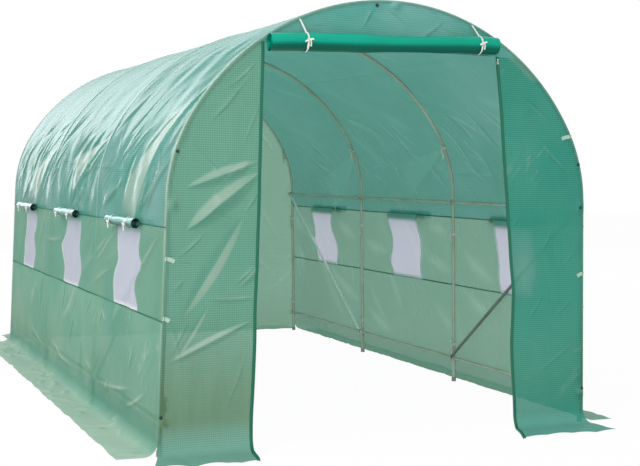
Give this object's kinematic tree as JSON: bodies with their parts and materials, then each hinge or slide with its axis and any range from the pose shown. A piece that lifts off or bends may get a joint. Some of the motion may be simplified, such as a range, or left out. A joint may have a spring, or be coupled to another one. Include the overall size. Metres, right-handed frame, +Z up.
{
  "type": "walk-in polytunnel greenhouse",
  "caption": "Arched walk-in polytunnel of bent steel hoops with rails and braces, under a green sheet cover with mesh windows, rolled flaps, a rolled-up door and ground skirts.",
  "frame": {"origin": "on the ground, in the middle of the bounding box of tunnel and skirts", "axes": "+X to the right seen from the doorway, +Y from the doorway to the back, +Z up"},
  "size_m": [2.4196, 3.9696, 1.9026],
  "materials": {
    "steel": "satin galvanised",
    "foot_cap": "matt",
    "cover_sheet": "translucent woven polyethylene, glossy",
    "rolled_sheet": "polyethylene in many layers, glossy",
    "zip_binding": "woven tape",
    "tie_tape": "woven tape",
    "insect_screen": "fine open mesh"
  },
  "bodies": {
    "root": {"front_arch": "steel", "second_arch": "steel", "third_arch": "steel", "rear_arch": "steel", "left_legs": "steel", "right_legs": "steel", "ridge_tubes": "steel", "left_mid_rail": "steel", "right_mid_rail": "steel", "left_bottom_rail": "steel", "right_bottom_rail": "steel", "left_braces": "steel", "right_braces": "steel", "left_foot_caps": "foot_cap", "right_foot_caps": "foot_cap", "roof_sheet": "cover_sheet", "left_window_band": "cover_sheet", "right_window_band": "cover_sheet", "left_lower_wall": "cover_sheet", "right_lower_wall": "cover_sheet", "front_left_panel": "cover_sheet", "front_right_panel": "cover_sheet", "front_head_panel": "cover_sheet", "rear_panel": "cover_sheet", "door_roll": "rolled_sheet", "left_flap_rolls": "rolled_sheet", "right_flap_rolls": "rolled_sheet", "left_door_binding": "zip_binding", "right_door_binding": "zip_binding", "left_door_tie": "tie_tape", "right_door_tie": "tie_tape", "left_flap_ties": "tie_tape", "right_flap_ties": "tie_tape", "left_window_screens": "insect_screen", "right_window_screens": "insect_screen"}
  },
  "joints": []
}
